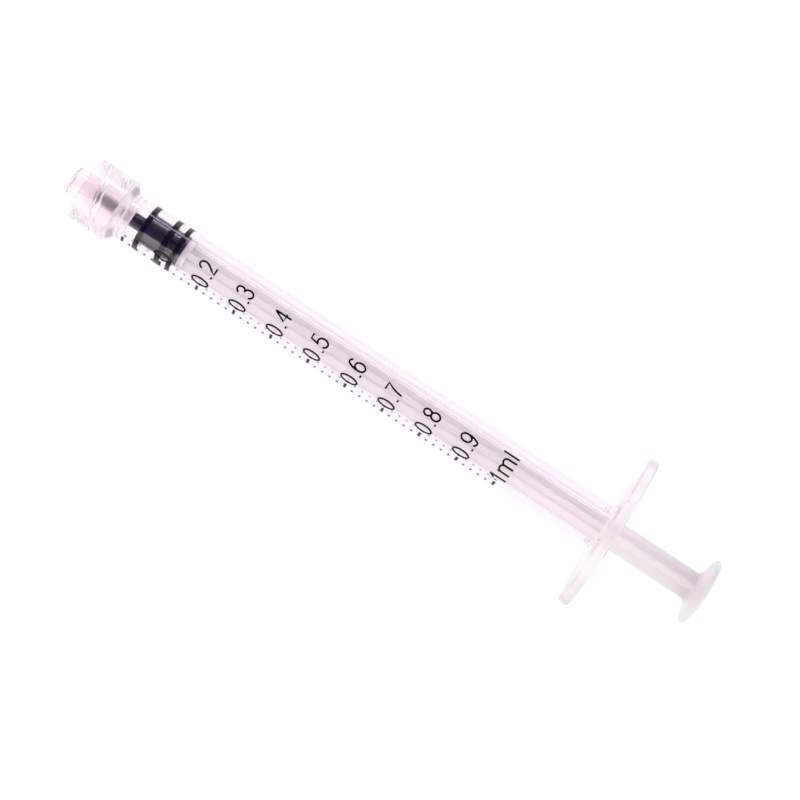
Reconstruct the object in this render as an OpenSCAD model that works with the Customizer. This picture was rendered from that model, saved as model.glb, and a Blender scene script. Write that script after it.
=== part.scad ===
/* [Scale and bore] */
// Volume at the last mark of the scale, in millilitres
capacity_ml = 1; // [1:1:1]
// Length of the scale from the zero mark to the last mark
scale_length = 57.5; // [57:0.5:59]
// Distance from the bore's end wall to the zero mark
zero_setback = 0.4; // [0.3:0.05:0.5]
// Outside diameter of the barrel
barrel_od = 6.5; // [6.4:0.05:6.7]

/* [Barrel] */
// Length of the bore from its end wall to the barrel's rear face
bore_length = 74.8; // [74.5:0.1:76]
// Thickness of the wall between the bore and the bottom of the lock collar
hub_length = 1.95; // [1.8:0.05:2.1]
// Width of the fluid channel through that wall
hub_channel_d = 2.3; // [2.25:0.01:2.35]
// How far the retaining bead stands into the bore
bead_height = 0.14; // [0.1:0.01:0.16]
// Distance from the bead to the barrel's rear face
bead_setback = 2.6; // [2.4:0.1:3]

/* [Luer nozzle and lock collar] */
// Length of the tapered nozzle from the collar floor
nozzle_length = 7.5; // [7.5:0.05:7.8]
// Diameter of the nozzle at its tip
nozzle_tip_d = 3.95; // [3.93:0.005:3.99]
// Growth of the nozzle's diameter per millimetre of length
nozzle_taper = 0.06; // [0.06:0.001:0.06]
// Width of the fluid channel through the nozzle
nozzle_channel_d = 1.9; // [1.88:0.01:1.95]
// How far the nozzle stands out in front of the collar
nozzle_projection = 2.15; // [2.1:0.05:2.3]
// Outside diameter of the lock collar
collar_od = 8.9; // [8.8:0.05:9]
// Diameter of the collar's wall between the threads
thread_root_d = 8; // [7.9:0.05:8.1]
// Diameter across the crests of the threads
thread_crest_d = 7; // [6.95:0.01:7.05]
// Advance of each thread in one turn
thread_lead = 5; // [5:0.1:5]

/* [Finger flange] */
// Length of the flange across both fingers
flange_length = 22.2; // [21:0.1:24]
// Width of the flange between its two flat edges
flange_width = 10; // [9.9:0.05:10.4]
// Thickness of the flange
flange_thickness = 1.6; // [1.4:0.05:1.8]
// Length of each flat edge
flange_flat = 10; // [8:0.5:11]
// Radius of the rounded finger ends
flange_end_r = 2.3; // [2:0.1:2.6]

/* [Piston seal] */
// Distance from the bore's end wall to the seal's front face
seal_rest = 1.7; // [1.65:0.05:1.75]
// Length of the sealing part between its front and rear faces
seal_length = 6.16; // [6:0.02:6.3]
// Gap between a sealing ring and the bore
seal_gap = 0.02; // [0.01:0.01:0.05]
// Diameter of the seal's core between the rings
seal_core_d = 4.3; // [4.1:0.05:4.4]
// Diameter of the nose inside the bore
nose_d = 2.04; // [1.9:0.02:2.1]
// Diameter of the nose inside the nozzle
nose_tip_d = 1.5; // [1.3:0.02:1.6]

/* [Plunger rod] */
// Width across two opposite ribs
rod_width = 4; // [3.8:0.05:4.1]
// Thickness of each rib
rib_thickness = 0.8; // [0.6:0.05:1]
// Diameter of the thumb disc
thumb_disc_d = 9.9; // [9:0.1:9.9]
// Distance from the barrel's rear face to the rear of the thumb disc
thumb_standoff = 13.75; // [13:0.25:15]
// Thickness of the thumb disc at its rim
thumb_rim = 0.75; // [0.6:0.05:1]

/* [Printed scale] */
// Volume between two numbered marks, in millilitres
major_step_ml = 0.1; // [0.1:0.1:0.1]
// Number of steps between two numbered marks
minor_steps = 5; // [5:5:5]
// Thickness of the ink
ink_thickness = 0.02; // [0.01:0.01:0.03]
// Width of a stroke of a number
ink_line = 0.24; // [0.2:0.01:0.26]
// Height of the numbers between the middles of their strokes, along the barrel
number_height = 2.4; // [2.2:0.1:2.5]
// Width of one digit between the middles of its strokes
digit_width = 0.98; // [0.9:0.02:1]

/* [Hidden] */
$fn = 96;

// Places along the axis, from the nozzle's tip at 0 towards the thumb disc
bore_x = nozzle_length + hub_length;
rear_x = bore_x + bore_length;
flange_x = rear_x - flange_thickness;
seal_x = bore_x + seal_rest;
seal_rear_x = seal_x + seal_length;
thumb_x = rear_x + thumb_standoff;
zero_x = bore_x + zero_setback;
collar_x = nozzle_projection;

// The bore's area times the scale's length is the capacity
bore_d = 2 * sqrt(1000 * capacity_ml / (PI * scale_length));
collar_shoulder = 1;
collar_round = 0.4;
mouth_chamfer = 0.2;

// Sealing rings: where each starts behind the seal's front face, and its width
ring_starts = [0, 3.31, 5.09];
ring_widths = [0.85, 0.86, 0.76];
ring_edge = 0.12;

// The rod's head snaps into a pocket in the back of the seal and can turn there
neck_d = 1.7;
barb_d = 2.3;
barb_length = 1.2;
socket_depth = 4.4;
socket_play = 0.05;
head_disc_d = 4.3;
head_disc_t = 0.9;
head_gap = 0.05;
web_end = 1.75;

// A mark's angles are measured round the barrel from the top line of the print
major_arc = [54, 77];
minor_arc = [64, 75];
major_line = 0.38;
minor_line = 0.26;

// Middles of the signs, measured round the barrel from its top line
zero_at = -2.08;
point_at = -0.86;
digit_at = 0.12;
one_at = -2.25;
m_at = -0.2;
m_width = 1.88;
l_at = 1.41;

module along_axis(x) {
    translate([x, 0, 0]) rotate([0, 90, 0]) children();
}

// A ring with the axis along X, from its outline of [radius, distance] points
module turned(x, outline) {
    along_axis(x) rotate_extrude() polygon(outline);
}

// Quarter circle from one angle to another, as outline points
function arc(centre, r, from, to, steps = 6) = [
    for (i = [0:steps])
        let (a = from + (to - from) * i / steps)
        centre + r * [cos(a), sin(a)]
];

module barrel_tube() {
    r_bore = bore_d / 2;
    r_out = barrel_od / 2;
    bead_at = bore_length - bead_setback;
    color([0.95, 0.93, 0.95, 0.35])
    turned(bore_x, [
        [r_bore, 0],
        [r_out, 0],
        [r_out, bore_length],
        [r_bore + mouth_chamfer, bore_length],
        [r_bore, bore_length - mouth_chamfer],
        [r_bore, bead_at + 0.6],
        [r_bore - bead_height, bead_at + 0.35],
        [r_bore - bead_height, bead_at + 0.25],
        [r_bore, bead_at]
    ]);
}

module barrel_hub() {
    color([0.95, 0.93, 0.95, 0.35])
    turned(nozzle_length, [
        [hub_channel_d / 2, 0],
        [collar_od / 2, 0],
        [collar_od / 2, 0.08],
        [barrel_od / 2, collar_shoulder],
        [barrel_od / 2, hub_length],
        [hub_channel_d / 2, hub_length]
    ]);
}

module luer_nozzle() {
    r_tip = nozzle_tip_d / 2;
    r_root = r_tip + nozzle_taper * nozzle_length / 2;
    edge = 0.3;
    color([0.95, 0.93, 0.95, 0.35])
    turned(0, concat(
        [[nozzle_channel_d / 2, 0]],
        arc([r_tip - edge, edge], edge, -90, 0),
        [
            [r_root, nozzle_length],
            [nozzle_channel_d / 2, nozzle_length]
        ]
    ));
}

module luer_lock_collar() {
    r_out = collar_od / 2;
    r_root = thread_root_d / 2;
    length = nozzle_length - collar_x;
    color([0.95, 0.93, 0.95, 0.35])
    turned(collar_x, concat(
        arc([r_out - collar_round, collar_round], collar_round, -90, 0),
        [
            [r_out, length],
            [r_root, length],
            [r_root, 0]
        ]
    ));
}

// One thread: a ridge that winds round the inside of the collar and fades out at both ends
module thread_ridge(start_angle) {
    r_root = thread_root_d / 2;
    full_depth = (thread_root_d - thread_crest_d) / 2;
    base_half = 0.5;
    crest_half = 0.15;
    first = 0.5;
    turns = 0.86;
    rings = 40;
    sweep_points = [
        for (i = [0:rings])
            let (
                t = i / rings,
                angle = start_angle + 360 * turns * t,
                x = collar_x + first + thread_lead * turns * t,
                depth = full_depth * max(0.05, min(1, 6 * t, 6 * (1 - t))),
                crest = r_root - depth
            )
            for (p = [
                [r_root, -base_half],
                [r_root, base_half],
                [crest, crest_half],
                [crest, -crest_half]
            ])
                [x + p[1], p[0] * cos(angle), p[0] * sin(angle)]
    ];
    side_faces = [
        for (i = [0:rings - 1], k = [0:3])
            [4 * i + k, 4 * i + (k + 1) % 4, 4 * i + 4 + (k + 1) % 4, 4 * i + 4 + k]
    ];
    polyhedron(
        points = sweep_points,
        faces = concat([[3, 2, 1, 0]], side_faces, [[for (k = [0:3]) 4 * rings + k]])
    );
}

module luer_lock_thread() {
    color([0.95, 0.93, 0.95, 0.35])
    for (start = [119, 299]) thread_ridge(start);
}

// Direction, from a circle's centre, of the point where the line from a corner touches the circle
function touch_angle(corner, centre, r) =
    let (v = centre - corner)
    atan2(v[1], v[0]) + asin(r / norm(v)) + 90;

module flange_outline() {
    corner = [flange_flat / 2, flange_width / 2];
    centre = [flange_length / 2 - flange_end_r, 0];
    a = touch_angle(corner, centre, flange_end_r);
    half = concat(
        [[corner[0], -corner[1]]],
        arc(centre, flange_end_r, -a, a, 20),
        [corner]
    );
    polygon(concat(half, [for (p = half) -p]));
}

module finger_flange() {
    color([0.95, 0.93, 0.95, 0.35])
    difference() {
        translate([flange_x, 0, 0])
        rotate([90, 0, 90])
        linear_extrude(flange_thickness)
        flange_outline();
        along_axis(flange_x - 1) cylinder(d = barrel_od, h = flange_thickness + 2);
    }
}

// A band of ink round part of the barrel, between two angles from the top line
module ink_arc(x, width, arc_span) {
    translate([x - width / 2, 0, 0])
    rotate([arc_span[0], 0, 0])
    rotate([0, 90, 0])
    rotate([0, 0, 180])
    rotate_extrude(angle = arc_span[1] - arc_span[0])
    translate([barrel_od / 2, 0])
    square([ink_thickness, width]);
}

module graduation_lines() {
    majors = round(capacity_ml / major_step_ml);
    color("black")
    for (i = [0:majors * minor_steps]) {
        x = zero_x + scale_length * i / (majors * minor_steps);
        if (i % minor_steps == 0) ink_arc(x, major_line, major_arc);
        else ink_arc(x, minor_line, minor_arc);
    }
}

// Strokes of each sign, on a grid one wide and two high
function turned_about(sign) = [for (line = sign) [for (p = line) [1 - p[0], 2 - p[1]]]];
six = [
    [[0.95, 1.75], [0.65, 2], [0.3, 1.9], [0, 1.4], [0, 0.4], [0.3, 0], [0.7, 0], [1, 0.35]],
    [[1, 0.35], [1, 0.8], [0.7, 1.15], [0.3, 1.15], [0, 0.8]]
];
function strokes(sign) =
    sign == "0" ? [[
        [0.3, 0], [0, 0.5], [0, 1.5], [0.3, 2], [0.7, 2], [1, 1.5], [1, 0.5], [0.7, 0], [0.3, 0]
    ]] :
    sign == "1" ? [[[0, 1.3], [0.8, 2], [0.8, 0]]] :
    sign == "2" ? [[[0, 1.55], [0.25, 1.95], [0.75, 1.95], [1, 1.5], [0.85, 1.1], [0, 0], [1, 0]]] :
    sign == "3" ? [
        [[0, 1.7], [0.3, 2], [0.7, 2], [0.95, 1.6], [0.7, 1.1], [0.4, 1.1]],
        [[0.7, 1.1], [1, 0.6], [0.7, 0], [0.3, 0], [0, 0.35]]
    ] :
    sign == "4" ? [[[0.75, 0], [0.75, 2], [0, 0.6], [1, 0.6]]] :
    sign == "5" ? [[
        [0.95, 2], [0.2, 2], [0.05, 1.1], [0.65, 1.25], [1, 0.9], [1, 0.4], [0.7, 0], [0.3, 0],
        [0, 0.35]
    ]] :
    sign == "6" ? six :
    sign == "7" ? [[[0, 2], [1, 2], [0.4, 0]]] :
    sign == "8" ? [
        [[0.3, 1.1], [0.05, 1.5], [0.3, 2], [0.7, 2], [0.95, 1.5], [0.7, 1.1], [0.3, 1.1]],
        [[0.3, 1.1], [0, 0.6], [0.3, 0], [0.7, 0], [1, 0.6], [0.7, 1.1]]
    ] :
    sign == "9" ? turned_about(six) :
    sign == "m" ? [
        [[0, 0], [0, 1.5]],
        [[0, 1.2], [0.25, 1.5], [0.5, 1.2], [0.5, 0]],
        [[0.5, 1.2], [0.75, 1.5], [1, 1.2], [1, 0]]
    ] :
    sign == "l" ? [[[0, 0], [0, 2]]] :
    [[[0, 0], [0, 0.15]]];

// One straight stroke as a block that stands on the barrel, cut to the ink's thickness later.
// Points are [distance round the barrel from its top line, distance towards the nozzle].
module stroke_block(p, q) {
    middle = (p + q) / 2;
    span = q - p;
    rotate([-middle[0] / (PI * barrel_od) * 360, 0, 0])
    translate([-middle[1], 0, barrel_od / 2 - 0.3])
    rotate([0, 0, atan2(span[0], -span[1])])
    translate([-(norm(span) + ink_line) / 2, -ink_line / 2, 0])
    cube([norm(span) + ink_line, ink_line, 0.6]);
}

// A sign with its middle at a distance round the barrel, its height centred on a mark at x
module sign_blocks(sign, x, middle, width) {
    foot = x + number_height / 2;
    left = middle - width / 2;
    for (line = strokes(sign), k = [0:len(line) - 2])
        stroke_block(
            [left + line[k][0] * width, line[k][1] * number_height / 2 - foot],
            [left + line[k + 1][0] * width, line[k + 1][1] * number_height / 2 - foot]
        );
}

module number_blocks() {
    for (i = [1:9]) {
        x = zero_x + scale_length * i * major_step_ml / capacity_ml;
        sign_blocks("0", x, zero_at, digit_width);
        sign_blocks(".", x, point_at, 0);
        sign_blocks(str(i), x, digit_at, digit_width);
    }
    end_x = zero_x + scale_length;
    sign_blocks("1", end_x, one_at, digit_width / 2);
    sign_blocks("m", end_x, m_at, m_width);
    sign_blocks("l", end_x, l_at, 0);
}

module scale_numbers() {
    color("black")
    intersection() {
        number_blocks();
        difference() {
            along_axis(bore_x) cylinder(d = barrel_od + 2 * ink_thickness, h = bore_length);
            along_axis(bore_x - 1) cylinder(d = barrel_od, h = bore_length + 2);
        }
    }
}

// Outline of the sealing rings, front to rear, with small bevels on every ring
function ring_outline(r_ring, r_core) = [
    for (i = [0:len(ring_starts) - 1])
        let (a = ring_starts[i], b = a + ring_widths[i])
        for (p = [
            [r_core, a],
            [r_ring - ring_edge, a],
            [r_ring, a + ring_edge],
            [r_ring, b - ring_edge],
            [r_ring - ring_edge, b],
            [r_core, b]
        ]) p
];

module piston_seal() {
    r_ring = bore_d / 2 - seal_gap;
    r_core = seal_core_d / 2;
    barb_floor = seal_length - socket_depth;
    barb_top = barb_floor + barb_length + 2 * socket_play;
    r_barb = barb_d / 2 + socket_play;
    r_neck = neck_d / 2 + socket_play;
    color([0.08, 0.07, 0.12])
    turned(seal_x, concat(
        [[0, 0]],
        ring_outline(r_ring, r_core),
        [
            [r_core, seal_length],
            [r_neck, seal_length],
            [r_neck, barb_top],
            [r_barb, barb_top],
            [r_barb, barb_floor],
            [0, barb_floor]
        ]
    ));
}

module seal_nose() {
    r = nose_d / 2;
    r_tip = nose_tip_d / 2;
    shoulder = 1.6;
    length = seal_x - 3.75;
    color([0.08, 0.07, 0.12])
    turned(seal_x, concat(
        [
            [0, 0],
            [r, 0],
            [r, -shoulder],
            [r_tip + 0.05, -shoulder - 0.35]
        ],
        arc([r_tip - 0.3, 0.3 - length], 0.3, 0, -90),
        [[0, -length]]
    ));
}

module rod_head() {
    floor_x = seal_rear_x - socket_depth + socket_play;
    disc_x = seal_rear_x + head_gap;
    color([0.88, 0.86, 0.88])
    union() {
        along_axis(floor_x) cylinder(d = barb_d, h = barb_length);
        along_axis(floor_x) cylinder(d = neck_d, h = disc_x - floor_x + 0.1);
        along_axis(disc_x) cylinder(d = head_disc_d, h = head_disc_t);
    }
}

module plunger_rod() {
    start = seal_rear_x + head_gap + head_disc_t;
    length = thumb_x - web_end - start;
    color([0.88, 0.86, 0.88])
    union() {
        for (turn = [0, 90])
            rotate([turn, 0, 0])
            translate([start, -rod_width / 2, -rib_thickness / 2])
            cube([length, rod_width, rib_thickness]);
    }
}

module thumb_disc() {
    r = thumb_disc_d / 2;
    rim_round = thumb_rim / 2;
    color([0.88, 0.86, 0.88])
    turned(thumb_x, concat(
        [
            [0, 0],
            [0, -web_end],
            [rod_width / 2 + 0.1, -web_end],
            [rod_width / 2 + 0.6, -web_end + 0.45]
        ],
        arc([r - rim_round, -rim_round], rim_round, -90, 90, 8)
    ));
}

barrel_tube();
barrel_hub();
luer_nozzle();
luer_lock_collar();
luer_lock_thread();
finger_flange();
graduation_lines();
scale_numbers();
piston_seal();
seal_nose();
rod_head();
plunger_rod();
thumb_disc();
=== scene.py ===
"""Looks of a slim 1 ml syringe with a lock-collar tip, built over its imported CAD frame.

The frame's origin is the middle of the nozzle's tip, +X runs back to the thumb disc and
+Z is the top line of the print. Lengths are in millimetres unless a name says so.
"""

import math

import bpy
from mathutils import Euler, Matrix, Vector

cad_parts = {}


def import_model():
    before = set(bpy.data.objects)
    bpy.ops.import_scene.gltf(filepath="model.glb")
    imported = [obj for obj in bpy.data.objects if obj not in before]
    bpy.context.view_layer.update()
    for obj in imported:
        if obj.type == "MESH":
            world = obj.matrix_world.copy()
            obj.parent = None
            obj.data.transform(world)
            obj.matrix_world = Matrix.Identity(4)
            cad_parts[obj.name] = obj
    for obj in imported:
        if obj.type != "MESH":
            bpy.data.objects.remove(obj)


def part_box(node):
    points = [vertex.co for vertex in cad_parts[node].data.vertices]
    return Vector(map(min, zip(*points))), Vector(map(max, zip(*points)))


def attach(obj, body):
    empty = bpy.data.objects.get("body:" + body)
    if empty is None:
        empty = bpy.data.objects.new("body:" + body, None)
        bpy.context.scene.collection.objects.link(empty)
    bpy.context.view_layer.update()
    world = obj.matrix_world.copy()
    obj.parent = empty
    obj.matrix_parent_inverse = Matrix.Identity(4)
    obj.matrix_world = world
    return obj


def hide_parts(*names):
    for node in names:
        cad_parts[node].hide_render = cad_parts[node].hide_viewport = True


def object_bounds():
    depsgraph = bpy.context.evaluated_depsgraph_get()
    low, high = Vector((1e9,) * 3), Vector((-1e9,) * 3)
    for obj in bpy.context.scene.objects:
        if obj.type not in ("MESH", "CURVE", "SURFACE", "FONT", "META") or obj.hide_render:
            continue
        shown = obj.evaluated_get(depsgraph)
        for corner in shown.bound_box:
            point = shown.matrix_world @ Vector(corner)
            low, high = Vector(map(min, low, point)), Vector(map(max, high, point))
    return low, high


MM = 0.001
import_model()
cad_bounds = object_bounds()


def span(node):
    """Front x, rear x and half width along Y of a CAD node."""
    low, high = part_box(node)
    return low.x / MM, high.x / MM, high.y / MM


# Barrel, with the places that its CAD nodes give
NOZZLE_FRONT, COLLAR_FLOOR, NOZZLE_ROOT_R = span("luer_nozzle")
COLLAR_FRONT, _, COLLAR_R = span("luer_lock_collar")
BORE_FRONT, BARREL_REAR, BARREL_R = span("barrel_tube")
NOZZLE_TAPER = 0.03
NOZZLE_TIP_R = NOZZLE_ROOT_R - NOZZLE_TAPER * (COLLAR_FLOOR - NOZZLE_FRONT)
NOZZLE_CHANNEL_R = 0.95
HUB_CHANNEL_R = 1.15
SHOULDER_FRONT = COLLAR_FLOOR + 0.08
SHOULDER_REAR = COLLAR_FLOOR + 1.0
MOUTH_CHAMFER = 0.2
BEAD = BARREL_REAR - 2.3
BEAD_HEIGHT = 0.06
BEAD_HALF = 0.8

# The scale's length for 1 ml gives the bore's radius
SCALE_LENGTH = 57.5
ZERO_MARK = BORE_FRONT + 0.4
BORE_R = math.sqrt(1000 / (math.pi * SCALE_LENGTH))

# Threads inside the collar, each with its start angle in degrees
THREAD_ROOT_R = 4.0
THREAD_DEPTH = 0.5
THREAD_LEAD = 5.0
THREAD_TURNS = 0.86
THREAD_FADE = 6
THREAD_FIRST = COLLAR_FRONT + 0.5
THREAD_BASE_HALF = 0.5
THREAD_CREST_HALF = 0.15
THREAD_STARTS = (119, 299)

# Finger flange
FLANGE_FRONT, FLANGE_REAR, FLANGE_HALF = span("finger_flange")
FLANGE_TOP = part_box("finger_flange")[1].z / MM
FLANGE_FLAT_HALF = 5.0
FLANGE_END_R = 2.3
FLANGE_CORNER_R = 1.2
FLANGE_EDGE_R = 0.42
# Paths draw the flange's edge at this radius, and its true reach is added at each angle
FLANGE_DRAWN_R = 20.0

# Piston seal, with its rings from front to rear
SEAL_FRONT, SEAL_REAR, _ = span("piston_seal")
NOSE_FRONT, _, NOSE_R = span("seal_nose")
NOSE_TIP_R = 0.75
NOSE_SHOULDER = 1.6
NOSE_SLOPE = 0.35
RING_STARTS = (0.0, 3.31, 5.09)
RING_WIDTHS = (0.85, 0.86, 0.76)
RING_EDGE = 0.12
RING_PRESS = 0.03
CORE_R = 2.15
POCKET_DEPTH = 4.4
POCKET_NECK_R = 0.9
POCKET_BARB_R = 1.2
POCKET_BARB_LENGTH = 1.3

# Plunger rod and thumb disc
HEAD_FRONT, ROD_FRONT, HEAD_R = span("rod_head")
_, ROD_REAR, ROD_R = span("plunger_rod")
_, THUMB_REAR, THUMB_R = span("thumb_disc")
BARB_R = 1.15
BARB_LENGTH = 1.2
NECK_R = 0.85
HEAD_DISC_T = 0.9
RIB_HALF = 0.4
RIB_CORNER_R = 0.12
RIB_ROOT_R = 0.25
THUMB_FOOT_R = ROD_R + 0.1
THUMB_CONE_R = 2.6
THUMB_CONE_LENGTH = 0.45
RIM_HALF = 0.375

# Print: how far the ink reaches into and out of the barrel, then lines and signs.
# An arc is two angles in degrees from the top line, and a place is measured round the
# barrel from the top line towards +Y.
INK_SUNK = 0.003
INK_RAISED = 0.018
MAJOR_STEPS = 10
MINOR_PER_MAJOR = 5
MAJOR_LINE, MAJOR_ARC = 0.38, (54, 77)
MINOR_LINE, MINOR_ARC = 0.26, (64, 75)
STROKE, POINT_STROKE = 0.265, 0.32
SIGN_HEIGHT = 2.38
ZERO_AT, ZERO_WIDTH = -2.08, 0.931
POINT_AT = -0.86
DIGIT_AT, DIGIT_WIDTH = 0.12, 1.029
ONE_AT, ONE_WIDTH = -2.25, 0.7
M_AT, M_WIDTH = -0.2, 1.88
L_AT = 1.41

# Fineness of the meshes
ROUND_STEPS = 256
SEAL_STEPS = 128
ROD_STEPS = 30
CROWDING = 0.3
SUPPORT = 0.04
WALL_STEP = 2.5
THREAD_STEP = 0.07
INK_STEP = 0.12
TINY = 1e-6

# Slots of the barrel's material, and where the flange's haze starts in front of it
CLEAR, BORE, COLLAR, HUB, FLANGE = range(5)
FLANGE_ROOT = FLANGE_FRONT - 0.6

# Stage, with the floor's half width in metres
FLOOR_HALF_M = 1.5
LENS = 103.8
CAMERA_PLACE = (51.35, -0.55, 300.0)
CAMERA_TURN = 33.35
GLOW_TOWARDS = (0.0, 0.85, -0.53)


# ---------------------------------------------------------------- shapes

def smooth(t):
    """0 to 1 with soft ends."""
    t = max(0.0, min(1.0, t))
    return t * t * (3 - 2 * t)


def steady(r):
    """A radius that is the same at every angle."""
    return lambda angle: r


def arc_points(centre, radius, start, end, steps):
    """Points of a circle's arc, angles in radians."""
    angles = [start + (end - start) * i / steps for i in range(steps + 1)]
    return [(centre[0] + radius * math.cos(a), centre[1] + radius * math.sin(a)) for a in angles]


def fillet(before, corner, after, radius, steps=5):
    """Points that round a corner, with a support point at either side."""
    c = Vector(corner)
    u, v = (Vector(before) - c), (Vector(after) - c)
    room = min(u.length, v.length)
    u.normalize()
    v.normalize()
    half = u.angle(v) / 2
    cut = min(radius / math.tan(half), room * 0.45)
    radius = cut * math.tan(half)
    centre = c + (u + v).normalized() * (radius / math.sin(half))
    start, end = c + u * cut, c + v * cut
    a0 = math.atan2(start.y - centre.y, start.x - centre.x)
    a1 = math.atan2(end.y - centre.y, end.x - centre.x)
    turn = (a1 - a0 + math.pi) % (2 * math.pi) - math.pi
    arc = arc_points(centre, radius, a0, a0 + turn, steps)
    support = min(SUPPORT, room * 0.05)
    first, last = start + u * support, end + v * support
    return [tuple(first)] + arc + [tuple(last)]


def rounded(corners, closed=False):
    """A path from corners (x, r, fillet radius, share), where share says how much of r
    follows the flange's outline. Gives rings (x, r, share)."""
    path = []
    count = len(corners)
    for i, (x, r, radius, share) in enumerate(corners):
        ends = not closed and i in (0, count - 1)
        if ends or radius == 0:
            points = [(x, r)]
        else:
            points = fillet(corners[i - 1][:2], (x, r), corners[(i + 1) % count][:2], radius)
        path += [(px, pr - share * FLANGE_DRAWN_R, share) for px, pr in points]
    return path


def refined(path, step_of):
    """The path with long stretches cut up. step_of gives the longest step allowed."""
    result = [path[0]]
    for p, q in zip(path, path[1:]):
        pieces = max(1, math.ceil(math.hypot(q[0] - p[0], q[1] - p[1]) / step_of(p, q)))
        for k in range(1, pieces + 1):
            t = k / pieces
            result.append(tuple(a + (b - a) * t for a, b in zip(p, q)))
    return result


def link(piece):
    bpy.context.scene.collection.objects.link(piece)
    return piece


def add_mesh(name, vertices, faces):
    """A new mesh object in the scene, from vertices in metres."""
    mesh = bpy.data.meshes.new(name)
    mesh.from_pydata(vertices, [], faces)
    mesh.update()
    return link(bpy.data.objects.new(name, mesh))


def build(name, rings, angles, closed=False):
    """A closed mesh from rings of (x, function of the angle that gives the radius).
    closed joins the last ring to the first; otherwise both ends close in a point."""
    vertices = []
    for x, radius in rings:
        for a in angles:
            r = radius(a)
            vertices.append((x * MM, r * math.cos(a) * MM, r * math.sin(a) * MM))
    count, last = len(angles), len(rings) - 1
    faces = []
    for i in range(len(rings) if closed else last):
        nxt = (i + 1) % len(rings)
        for j in range(count):
            k = (j + 1) % count
            faces.append((i * count + j, i * count + k, nxt * count + k, nxt * count + j))
    if not closed:
        front, rear = len(vertices), len(vertices) + 1
        vertices += [(rings[0][0] * MM, 0, 0), (rings[-1][0] * MM, 0, 0)]
        for j in range(count):
            k = (j + 1) % count
            faces.append((front, k, j))
            faces.append((rear, last * count + j, last * count + k))
    piece = add_mesh(name, vertices, faces)
    piece.data.shade_smooth()
    return piece


# ---------------------------------------------------------------- barrel

def flange_outline():
    """The flange seen along the axis, a convex outline with rounded corners, as (y, z)."""
    centre = FLANGE_HALF - FLANGE_END_R
    corner = (FLANGE_FLAT_HALF, FLANGE_TOP)
    v = Vector((centre - corner[0], -corner[1]))
    touch = math.atan2(v.y, v.x) + math.asin(FLANGE_END_R / v.length) + math.pi / 2
    end = arc_points((centre, 0), FLANGE_END_R, -touch, touch, 48)
    top = fillet(end[-1], corner, (-corner[0], corner[1]), FLANGE_CORNER_R, 8)[1:-1]
    half = [(y, -z) for y, z in reversed(top)] + end + top
    return half + [(-y, -z) for y, z in half]


def radial_reader(outline):
    """A function that gives the distance from the axis to the outline at an angle."""
    full = 2 * math.pi
    table = sorted((math.atan2(z, y) % full, y, z) for y, z in outline)
    table = [(table[-1][0] - full,) + table[-1][1:]] + table
    table.append((table[1][0] + full,) + table[1][1:])

    def reach(angle):
        angle %= full
        for (a, y0, z0), (b, y1, z1) in zip(table, table[1:]):
            if a <= angle <= b:
                cross = math.cos(angle) * (z1 - z0) - math.sin(angle) * (y1 - y0)
                if abs(cross) < 1e-9:
                    return math.hypot(y0, z0)
                return (y0 * (z1 - z0) - z0 * (y1 - y0)) / cross
        return 0.0
    return reach


def even_angles():
    """Angles round the axis from +Y towards +Z, closer together near the two finger ends."""
    turns = [2 * math.pi * i / ROUND_STEPS for i in range(ROUND_STEPS)]
    return [u - CROWDING * math.sin(2 * u) for u in turns]


def thread_height(x, angle):
    """How far the two threads stand out of the collar's wall at a place."""
    height = 0.0
    for start in THREAD_STARTS:
        along = (math.degrees(angle) - start) % 360 / 360
        for turn in (along, along - 1):
            t = turn / THREAD_TURNS
            if 0 <= t <= 1:
                off = abs(x - THREAD_FIRST - THREAD_LEAD * turn)
                side = smooth((THREAD_BASE_HALF - off) / (THREAD_BASE_HALF - THREAD_CREST_HALF))
                fade = smooth(min(THREAD_FADE * t, THREAD_FADE * (1 - t)))
                height = max(height, THREAD_DEPTH * side * fade)
    return height


def barrel_corners():
    """Outline of the barrel, from the nozzle's tip along the outside and back in the bore."""
    return [
        (NOZZLE_FRONT, NOZZLE_CHANNEL_R, 0.06, 0),
        (NOZZLE_FRONT, NOZZLE_TIP_R, 0.3, 0),
        (COLLAR_FLOOR, NOZZLE_ROOT_R, 0.15, 0),
        (COLLAR_FLOOR, THREAD_ROOT_R, 0.2, 0),
        (COLLAR_FRONT, THREAD_ROOT_R, 0.08, 0),
        (COLLAR_FRONT, COLLAR_R, 0.4, 0),
        (SHOULDER_FRONT, COLLAR_R, 0.3, 0),
        (SHOULDER_REAR, BARREL_R, 0.4, 0),
        (FLANGE_FRONT, BARREL_R, 0.5, 0),
        (FLANGE_FRONT, FLANGE_DRAWN_R, FLANGE_EDGE_R, 1),
        (FLANGE_REAR, FLANGE_DRAWN_R, FLANGE_EDGE_R, 1),
        (FLANGE_REAR, BORE_R + MOUTH_CHAMFER, 0.06, 0),
        (BARREL_REAR - MOUTH_CHAMFER, BORE_R, 0.1, 0),
        (BEAD + BEAD_HALF, BORE_R, 0.8, 0),
        (BEAD, BORE_R - BEAD_HEIGHT, 0.8, 0),
        (BEAD - BEAD_HALF, BORE_R, 0.8, 0),
        (BORE_FRONT, BORE_R, 0.15, 0),
        (BORE_FRONT, HUB_CHANNEL_R, 0.1, 0),
        (COLLAR_FLOOR, HUB_CHANNEL_R, 0.05, 0),
        (COLLAR_FLOOR, NOZZLE_CHANNEL_R, 0.05, 0),
    ]


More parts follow.
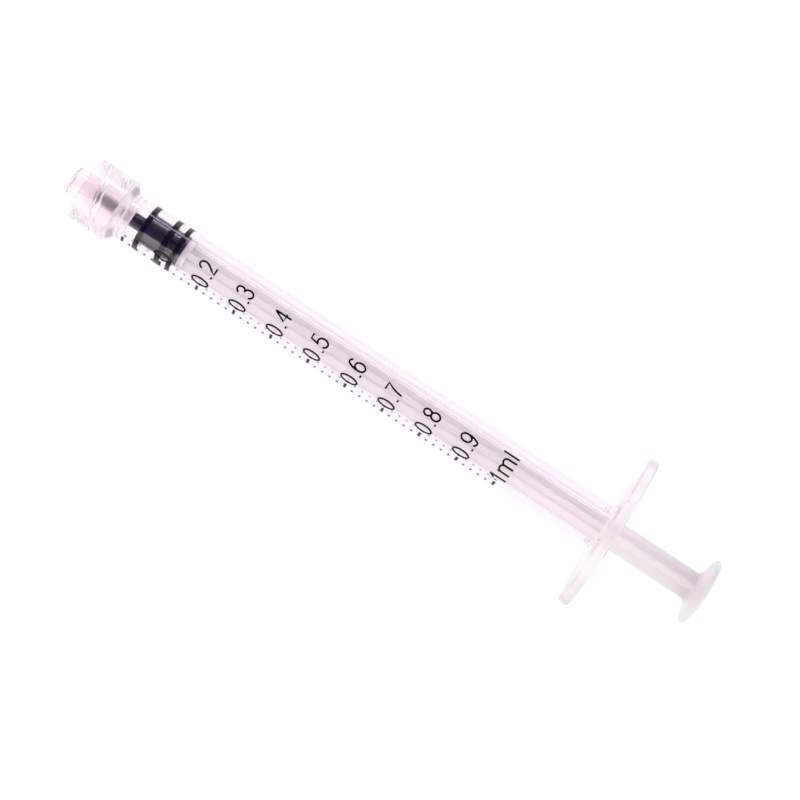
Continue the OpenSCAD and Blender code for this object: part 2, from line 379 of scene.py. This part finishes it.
def barrel_shell():
    reach = radial_reader(flange_outline())
    angles = even_angles()
    reaches = {a: reach(a) for a in angles}

    def threaded(r):
        return abs(r - THREAD_ROOT_R) < TINY

    def step_of(p, q):
        return THREAD_STEP if threaded(p[1]) and threaded(q[1]) else WALL_STEP

    def radius_at(x, r, share):
        if threaded(r) and x < COLLAR_FLOOR:
            return lambda a: r - thread_height(x, a)
        return lambda a: r + share * reaches[a]

    path = refined(rounded(barrel_corners(), closed=True), step_of)
    rings = [(x, radius_at(x, r, share)) for x, r, share in path]
    return build("barrel_shell", rings, angles, closed=True)


# ---------------------------------------------------------------- piston and rod

def piston_corners():
    """Outline of the seal, from the nose's tip to the bottom of the pocket in its back."""
    touch = BORE_R + RING_PRESS
    shoulder = SEAL_FRONT - NOSE_SHOULDER
    corners = [
        (NOSE_FRONT, 0.0, 0, 0),
        (NOSE_FRONT, NOSE_TIP_R, 0.45, 0),
        (shoulder - NOSE_SLOPE, NOSE_TIP_R + 0.05, 0.1, 0),
        (shoulder, NOSE_R, 0.2, 0),
        (SEAL_FRONT, NOSE_R, 0.1, 0),
    ]
    for start, width in zip(RING_STARTS, RING_WIDTHS):
        front, rear = SEAL_FRONT + start, SEAL_FRONT + start + width
        if start:
            corners.append((front, CORE_R, 0.08, 0))
        corners += [
            (front, touch, RING_EDGE, 0),
            (rear, touch, RING_EDGE, 0),
            (rear, CORE_R, 0.08, 0),
        ]
    pocket = SEAL_REAR - POCKET_DEPTH
    barb_rear = pocket + POCKET_BARB_LENGTH
    return corners + [
        (SEAL_REAR, CORE_R, 0.05, 0),
        (SEAL_REAR, POCKET_NECK_R, 0.05, 0),
        (barb_rear, POCKET_NECK_R, 0.05, 0),
        (barb_rear, POCKET_BARB_R, 0.05, 0),
        (pocket, POCKET_BARB_R, 0.05, 0),
        (pocket, 0.0, 0, 0),
    ]


def piston_rubber():
    path = refined(rounded(piston_corners())[1:-1], lambda p, q: WALL_STEP)
    angles = [2 * math.pi * i / SEAL_STEPS for i in range(SEAL_STEPS)]
    return build("piston_rubber", [(x, steady(r)) for x, r, _ in path], angles)


def cross_outline():
    """The cross-shaped rod seen along its axis, as (y, z), from the middle of the +Y rib."""
    edge, root_corner = (ROD_R, RIB_HALF), (RIB_HALF, RIB_HALF)
    tip = fillet((ROD_R, 0), edge, root_corner, RIB_CORNER_R, 4)[1:-1]
    root = fillet(edge, root_corner, (RIB_HALF, ROD_R), RIB_ROOT_R, 6)[1:-1]
    side = [(ROD_R + (RIB_HALF - ROD_R) * t / 8, RIB_HALF) for t in range(1, 7)]
    eighth = [(ROD_R, 0), (ROD_R, RIB_HALF / 2)] + tip + side + root[:3]
    quarter = eighth + [root[3]] + [(z, y) for y, z in reversed(eighth[1:])]
    outline = []
    for c, s in ((1, 0), (0, 1), (-1, 0), (0, -1)):
        outline += [(y * c - z * s, y * s + z * c) for y, z in quarter]
    return outline


def cross_reach():
    """The cross's distance from the axis at each angle of its outline, in order."""
    outline = cross_outline()
    points = sorted((math.atan2(z, y) % (2 * math.pi), math.hypot(y, z)) for y, z in outline)
    following = points[1:] + [(math.inf, 0)]
    return dict(p for p, q in zip(points, following) if q[0] - p[0] > 1e-5)


def head_corners():
    """Outline of the head that snaps into the seal, up to where the cross starts."""
    barb_rear = HEAD_FRONT + BARB_LENGTH
    disc_front = ROD_FRONT - HEAD_DISC_T
    return [
        (HEAD_FRONT, 0.0, 0, 0),
        (HEAD_FRONT, BARB_R, 0.1, 0),
        (barb_rear, BARB_R, 0.1, 0),
        (barb_rear, NECK_R, 0.05, 0),
        (disc_front, NECK_R, 0.05, 0),
        (disc_front, HEAD_R, 0.12, 0),
        (ROD_FRONT, HEAD_R, 0.12, 0),
        (ROD_FRONT, 0.0, 0, 0),
    ]


def thumb_corners():
    """Outline of the thumb disc, from where the cross ends."""
    return [
        (ROD_REAR, 0.0, 0, 0),
        (ROD_REAR, THUMB_FOOT_R, 0.1, 0),
        (ROD_REAR + THUMB_CONE_LENGTH, THUMB_CONE_R, 0.6, 0),
        (THUMB_REAR - 2 * RIM_HALF, THUMB_R - RIM_HALF, 0.2, 0),
        (THUMB_REAR - RIM_HALF, THUMB_R, 0.3, 0),
        (THUMB_REAR, THUMB_R - RIM_HALF, 0.3, 0),
        (THUMB_REAR, 0.0, 0, 0),
    ]


def rod_moulding():
    """Head, cross and thumb disc in one. The cross swells a little where it meets the two
    round parts, and the thumb disc's outline starts half-way round its first corner."""
    reach = cross_reach()

    def swollen(angle):
        return reach[angle] + SUPPORT

    length = ROD_REAR - ROD_FRONT - 2 * SUPPORT
    cross_x = [ROD_FRONT + SUPPORT + length * i / ROD_STEPS for i in range(ROD_STEPS + 1)]
    rings = [(x, steady(r)) for x, r, _ in rounded(head_corners())[1:-1]]
    rings.append((ROD_FRONT, swollen))
    rings += [(x, reach.get) for x in cross_x]
    rings.append((ROD_REAR, swollen))
    rings.append((ROD_REAR + 0.02, steady(THUMB_FOOT_R)))
    rings += [(x, steady(r)) for x, r, _ in rounded(thumb_corners())[4:-1]]
    return build("rod_moulding", rings, list(reach))


# ---------------------------------------------------------------- print

def on_barrel(x, s, lift):
    """The point on the barrel at a distance s round it from its top line, towards +Y."""
    a = s / BARREL_R
    r = BARREL_R + lift
    return (x * MM, r * math.sin(a) * MM, r * math.cos(a) * MM)


def ribbon(points, width, vertices, faces):
    """Adds a closed band of ink along points (x, s), smooth in its turns."""
    first = len(vertices)
    for i, p in enumerate(points):
        a, b = points[max(0, i - 1)], points[min(len(points) - 1, i + 1)]
        d = Vector((b[0] - a[0], b[1] - a[1])).normalized()
        n = Vector((-d.y, d.x)) * width / 2
        left, right = (p[0] + n.x, p[1] + n.y), (p[0] - n.x, p[1] - n.y)
        for side, lift in (
            (left, INK_RAISED), (right, INK_RAISED), (right, -INK_SUNK), (left, -INK_SUNK)
        ):
            vertices.append(on_barrel(*side, lift))
    for i in range(len(points) - 1):
        a, b = first + 4 * i, first + 4 * i + 4
        for k in range(4):
            m = (k + 1) % 4
            faces.append((a + k, b + k, b + m, a + m))
    end = first + 4 * (len(points) - 1)
    faces.append((first, first + 1, first + 2, first + 3))
    faces.append((end + 3, end + 2, end + 1, end))


def ink_piece(name, bands):
    vertices, faces = [], []
    for points, width in bands:
        ribbon(points, width, vertices, faces)
    return add_mesh(name, vertices, faces)


def tick(x, width, arc):
    """A line of ink round part of the barrel, on the -Y side of the top line."""
    a, b = (-math.radians(d) * BARREL_R for d in arc)
    steps = max(3, round(abs(b - a) / INK_STEP))
    return [(x, a + (b - a) * i / steps) for i in range(steps + 1)], width


def ink_lines():
    bands = []
    total = MAJOR_STEPS * MINOR_PER_MAJOR
    for i in range(total + 1):
        x = ZERO_MARK + SCALE_LENGTH * i / total
        if i % MINOR_PER_MAJOR == 0:
            bands.append(tick(x, MAJOR_LINE, MAJOR_ARC))
        else:
            bands.append(tick(x, MINOR_LINE, MINOR_ARC))
    return ink_piece("ink_lines", bands)


def bend(centre, radii, start, end, steps=10):
    """Part of an oval, angles in degrees."""
    angles = [math.radians(start + (end - start) * i / steps) for i in range(steps + 1)]
    return [
        (centre[0] + radii[0] * math.cos(a), centre[1] + radii[1] * math.sin(a)) for a in angles
    ]


SIX = [
    bend((0.52, 1.5), (0.44, 0.5), 25, 120, 6)
    + bend((0.56, 0.9), (0.56, 0.98), 145, 180, 5)
    + bend((0.5, 0.63), (0.5, 0.63), 190, 530, 20)
]

# The middles of each sign's strokes, in a box 1 wide and 2 high
SIGNS = {
    "0": [bend((0.5, 1), (0.5, 1), 90, 450, 32)],
    "1": [[(0.78, 0), (0.78, 2)], [(0.78, 1.98), (0.55, 1.66), (0.15, 1.42)]],
    "2": [
        bend((0.5, 1.45), (0.47, 0.55), 170, -20, 12)
        + [(0.78, 0.92), (0.4, 0.5), (0.06, 0.02), (1, 0.02)]
    ],
    "3": [
        bend((0.46, 1.54), (0.42, 0.46), 165, -75, 14) + [(0.38, 1.08)],
        [(0.38, 1.08)] + bend((0.47, 0.55), (0.49, 0.55), 80, -165, 14),
    ],
    "4": [[(0.74, 0), (0.74, 1.98)], [(0.74, 1.98), (0.02, 0.66), (1.04, 0.66)]],
    "5": [
        [(0.94, 1.97), (0.26, 1.97), (0.08, 0.98)]
        + bend((0.48, 0.62), (0.52, 0.62), 135, -160, 16)
    ],
    "6": SIX,
    "7": [[(0.02, 1.95), (0.98, 1.95), (0.62, 1.3), (0.42, 0.65), (0.34, 0)]],
    "8": [
        bend((0.5, 1.54), (0.42, 0.46), -90, 270, 20),
        bend((0.5, 0.54), (0.5, 0.54), 90, 450, 22),
    ],
    "9": [[(1 - u, 2 - v) for u, v in line] for line in SIX],
    "m": [
        [(0, 0), (0, 1.5)],
        bend((0.25, 1.1), (0.25, 0.38), 170, 0, 8) + [(0.5, 0)],
        bend((0.75, 1.1), (0.25, 0.38), 170, 0, 8) + [(1, 0)],
    ],
    "l": [[(0, 0), (0, 2)]],
    ".": [[(0, -0.02), (0, 0.2)]],
}


def placed(sign, x, middle, width, stroke=STROKE):
    """A sign's bands on the barrel, its height centred on a mark at x, feet towards the rear."""
    half = SIGN_HEIGHT / 2
    left = middle - width / 2
    return [
        ([(x + half - v * half, left + u * width) for u, v in line], stroke)
        for line in SIGNS[sign]
    ]


def ink_numbers():
    bands = []
    for i in range(1, MAJOR_STEPS):
        x = ZERO_MARK + SCALE_LENGTH * i / MAJOR_STEPS
        bands += placed("0", x, ZERO_AT, ZERO_WIDTH)
        bands += placed(".", x, POINT_AT, 0, POINT_STROKE)
        bands += placed(str(i), x, DIGIT_AT, DIGIT_WIDTH)
    end = ZERO_MARK + SCALE_LENGTH
    bands += placed("1", end, ONE_AT, ONE_WIDTH)
    bands += placed("m", end, M_AT, M_WIDTH)
    bands += placed("l", end, L_AT, 0)
    return ink_piece("ink_numbers", bands)


# ---------------------------------------------------------------- materials

def fresh(name):
    material = bpy.data.materials.new(name)
    material.use_nodes = True
    nodes = material.node_tree.nodes
    return material, nodes, material.node_tree.links, nodes["Principled BSDF"]


def noise(nodes, links, scale):
    """Noise laid out in object space, one unit to a millimetre."""
    place = nodes.new("ShaderNodeTexCoord")
    size = nodes.new("ShaderNodeVectorMath")
    size.operation = "SCALE"
    size.inputs["Scale"].default_value = 1 / MM
    texture = nodes.new("ShaderNodeTexNoise")
    texture.inputs["Scale"].default_value = scale
    texture.inputs["Detail"].default_value = 3.0
    links.new(place.outputs["Object"], size.inputs[0])
    links.new(size.outputs["Vector"], texture.inputs["Vector"])
    return texture


def ramp(nodes, links, source, low, high):
    """The source's value turned into a colour between two ends."""
    mix = nodes.new("ShaderNodeValToRGB")
    mix.color_ramp.elements[0].color = (*low, 1)
    mix.color_ramp.elements[1].color = (*high, 1)
    links.new(source.outputs[0], mix.inputs["Fac"])
    return mix


def spread(nodes, links, source, low, high):
    """The source's value laid out between two numbers."""
    move = nodes.new("ShaderNodeMapRange")
    move.inputs["To Min"].default_value = low
    move.inputs["To Max"].default_value = high
    links.new(source.outputs[0], move.inputs["Value"])
    return move


def surface(name, cloud_scale, dark, light, gloss_scale, roughness):
    """A material whose colour is clouded between two ends, and so is its roughness."""
    material, nodes, links, shader = fresh(name)
    tint = ramp(nodes, links, noise(nodes, links, cloud_scale), dark, light)
    links.new(tint.outputs["Color"], shader.inputs["Base Color"])
    gloss = spread(nodes, links, noise(nodes, links, gloss_scale), *roughness)
    links.new(gloss.outputs[0], shader.inputs["Roughness"])
    return material, nodes, links, shader


def add_grain(nodes, links, shader, scale, strength, depth=0.02):
    """A fine uneven skin."""
    grain = nodes.new("ShaderNodeBump")
    grain.inputs["Strength"].default_value = strength
    grain.inputs["Distance"].default_value = depth * MM
    links.new(noise(nodes, links, scale).outputs[0], grain.inputs["Height"])
    links.new(grain.outputs["Normal"], shader.inputs["Normal"])


def plastic(name, veil, roughness, dark, light):
    """Moulded polypropylene. veil is the share of light that its haze scatters."""
    material, nodes, links, shader = surface(name, 0.35, dark, light, 0.2, roughness)
    shader.inputs["Transmission Weight"].default_value = 1.0 - veil
    shader.inputs["IOR"].default_value = 1.49
    path = nodes.new("ShaderNodeLightPath")
    clear = nodes.new("ShaderNodeBsdfTransparent")
    mix = nodes.new("ShaderNodeMixShader")
    links.new(path.outputs["Is Shadow Ray"], mix.inputs["Fac"])
    links.new(shader.outputs["BSDF"], mix.inputs[1])
    links.new(clear.outputs["BSDF"], mix.inputs[2])
    links.new(mix.outputs["Shader"], nodes["Material Output"].inputs["Surface"])
    return material


def rubber(name, dark, light, specular):
    material, nodes, links, shader = surface(name, 1.5, dark, light, 6.0, (0.2, 0.28))
    shader.inputs["Specular IOR Level"].default_value = specular
    add_grain(nodes, links, shader, 14.0, 0.08)
    return material


def rod_plastic():
    material, nodes, links, shader = surface(
        "rod_plastic", 0.25, (0.935, 0.845, 0.86), (0.95, 0.865, 0.88), 3.0, (0.3, 0.42)
    )
    shader.inputs["Subsurface Weight"].default_value = 1.0
    shader.inputs["Subsurface Radius"].default_value = (1.0, 0.9, 0.95)
    shader.inputs["Subsurface Scale"].default_value = 3.0 * MM
    shader.inputs["Transmission Weight"].default_value = 0.3
    shader.inputs["IOR"].default_value = 1.49
    add_grain(nodes, links, shader, 8.0, 0.05)
    return material


def ink():
    material, _, _, shader = surface(
        "ink", 4.0, (0.004, 0.002, 0.003), (0.007, 0.004, 0.005), 9.0, (0.2, 0.3)
    )
    shader.inputs["Specular IOR Level"].default_value = 0.2
    return material


def place_of(face):
    """A face's x and its distance from the axis."""
    middle = face.center
    return middle.x / MM, math.hypot(middle.y, middle.z) / MM


def share_plastics(piece):
    """Faces of the barrel take a finish by their place."""
    for face in piece.data.polygons:
        x, r = place_of(face)
        if COLLAR_FLOOR < x < BORE_FRONT:
            face.material_index = HUB
        elif x <= COLLAR_FLOOR:
            face.material_index = COLLAR
        elif x > FLANGE_ROOT and r > BARREL_R:
            face.material_index = FLANGE
        elif r < BARREL_R - 0.1:
            face.material_index = BORE
        else:
            face.material_index = CLEAR


def share_rubber(piece):
    """The rings press on the bore without a film of air, so their faces there don't shine."""
    for face in piece.data.polygons:
        if place_of(face)[1] > BORE_R:
            face.material_index = 1


# ---------------------------------------------------------------- stage

def floor():
    low, half = cad_bounds[0][2], FLOOR_HALF_M
    corners = [(-half, -half, low), (half, -half, low), (half, half, low), (-half, half, low)]
    piece = add_mesh("floor", corners, [(0, 1, 2, 3)])
    material, _, _, shader = fresh("floor_white")
    shader.inputs["Base Color"].default_value = (0.25, 0.24, 0.245, 1)
    shader.inputs["Roughness"].default_value = 0.9
    shader.inputs["Specular IOR Level"].default_value = 0.0
    shader.inputs["Emission Color"].default_value = (1.0, 0.98, 0.995, 1)
    shader.inputs["Emission Strength"].default_value = 0.88
    piece.data.materials.append(material)


def world():
    """A dim studio, brightest low down on the +Y side."""
    sky = bpy.data.worlds.new("studio")
    bpy.context.scene.world = sky
    sky.use_nodes = True
    nodes, links = sky.node_tree.nodes, sky.node_tree.links
    background = nodes["Background"]
    background.inputs["Color"].default_value = (0.93, 0.93, 1.0, 1)
    place = nodes.new("ShaderNodeTexCoord")
    towards = nodes.new("ShaderNodeVectorMath")
    towards.operation = "DOT_PRODUCT"
    towards.inputs[1].default_value = GLOW_TOWARDS
    links.new(place.outputs["Generated"], towards.inputs[0])
    glow = nodes.new("ShaderNodeMapRange")
    glow.inputs["From Min"].default_value = -0.3
    glow.inputs["To Min"].default_value = 0.04
    glow.inputs["To Max"].default_value = 0.5
    links.new(towards.outputs["Value"], glow.inputs["Value"])
    links.new(glow.outputs[0], background.inputs["Strength"])


def softbox(name, lean, turn, distance, size, radiance, colour):
    """An area light that faces the syringe. It leans from straight above towards +Y and is
    then turned round Z, both in degrees. Its size is (along X before the turn, across), and
    radiance is how bright its face looks."""
    lamp = bpy.data.lights.new(name, "AREA")
    lamp.shape = "RECTANGLE"
    lamp.size, lamp.size_y = size[0] * MM, size[1] * MM
    lamp.energy = radiance * math.pi * lamp.size * lamp.size_y
    lamp.color = colour
    piece = link(bpy.data.objects.new(name, lamp))
    place = Euler((-math.radians(lean), 0, math.radians(turn)))
    middle = Vector(((NOZZLE_FRONT + THUMB_REAR) / 2, 0, 0))
    piece.location = (middle + place.to_matrix() @ Vector((0, 0, distance))) * MM
    piece.rotation_euler = place


def camera():
    lens = bpy.data.cameras.new("camera")
    lens.sensor_width = 36
    lens.lens = LENS
    eye = link(bpy.data.objects.new("camera", lens))
    eye.location = Vector(CAMERA_PLACE) * MM
    eye.rotation_euler = (0, 0, math.radians(CAMERA_TURN))
    bpy.context.scene.camera = eye


def light_paths():
    """Clear plastic in clear plastic takes many bounces."""
    cycles = bpy.context.scene.cycles
    cycles.max_bounces = 32
    cycles.glossy_bounces = 24
    cycles.transmission_bounces = 32


# ---------------------------------------------------------------- assembly

def dress(piece, material, slot, body, *nodes):
    """Gives a piece its first material, hangs it on its body and hides the CAD nodes it stands
    for. slot is not used.
    """
    piece.data.materials.append(material)
    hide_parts(*nodes)
    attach(piece, body)


def dress_barrel():
    shell = barrel_shell()
    smooth_finish = (0.02, 0.035)
    clear = plastic(
        "clear_plastic", 0.0015, smooth_finish, (0.89, 0.83, 0.875), (0.905, 0.85, 0.89)
    )
    dress(shell, clear, "clear_plastic", "barrel", "barrel_tube", "barrel_hub",
          "luer_nozzle", "luer_lock_collar", "luer_lock_thread", "finger_flange")
    for name, veil, roughness, dark, light in (
        ("bore_plastic", 0.001, smooth_finish, (0.985, 0.98, 0.985), (0.99, 0.985, 0.99)),
        ("collar_plastic", 0.035, (0.2, 0.26), (0.91, 0.845, 0.88), (0.925, 0.86, 0.895)),
        ("hub_plastic", 0.4, (0.1, 0.15), (0.88, 0.81, 0.845), (0.9, 0.83, 0.865)),
        ("flange_plastic", 0.22, (0.25, 0.31), (0.875, 0.822, 0.838), (0.89, 0.837, 0.853)),
    ):
        shell.data.materials.append(plastic(name, veil, roughness, dark, light))
    share_plastics(shell)


def dress_print():
    black = ink()
    dress(ink_lines(), black, "ink", "barrel", "graduation_lines")
    dress(ink_numbers(), black, "ink", "barrel", "scale_numbers")


def dress_plunger():
    piston = piston_rubber()
    black = rubber("black_rubber", (0.006, 0.002, 0.016), (0.009, 0.003, 0.022), 0.5)
    pressed = rubber("pressed_rubber", (0.004, 0.001, 0.01), (0.005, 0.0015, 0.014), 0.03)
    dress(piston, black, "black_rubber", "seal", "piston_seal", "seal_nose")
    piston.data.materials.append(pressed)
    share_rubber(piston)
    dress(rod_moulding(), rod_plastic(), "rod_plastic", "rod",
          "rod_head", "plunger_rod", "thumb_disc")


def lights():
    softbox("broad_light", -44, 0, 700, (1400, 430), 1.95, (1.0, 0.97, 0.96))
    softbox("low_light", -72, 0, 700, (1400, 300), 1.0, (1.0, 0.98, 1.0))
    softbox("strip_light", 64, 0, 500, (600, 90), 5.5, (0.9, 0.87, 1.0))
    softbox("front_light", 52, 90, 700, (600, 600), 1.9, (1.0, 0.975, 0.99))
    softbox("rear_light", 52, -90, 700, (600, 600), 1.9, (1.0, 0.975, 0.99))


dress_barrel()
dress_print()
dress_plunger()
floor()
world()
lights()
camera()
light_paths()
bpy.context.scene.view_settings.view_transform = "Standard"
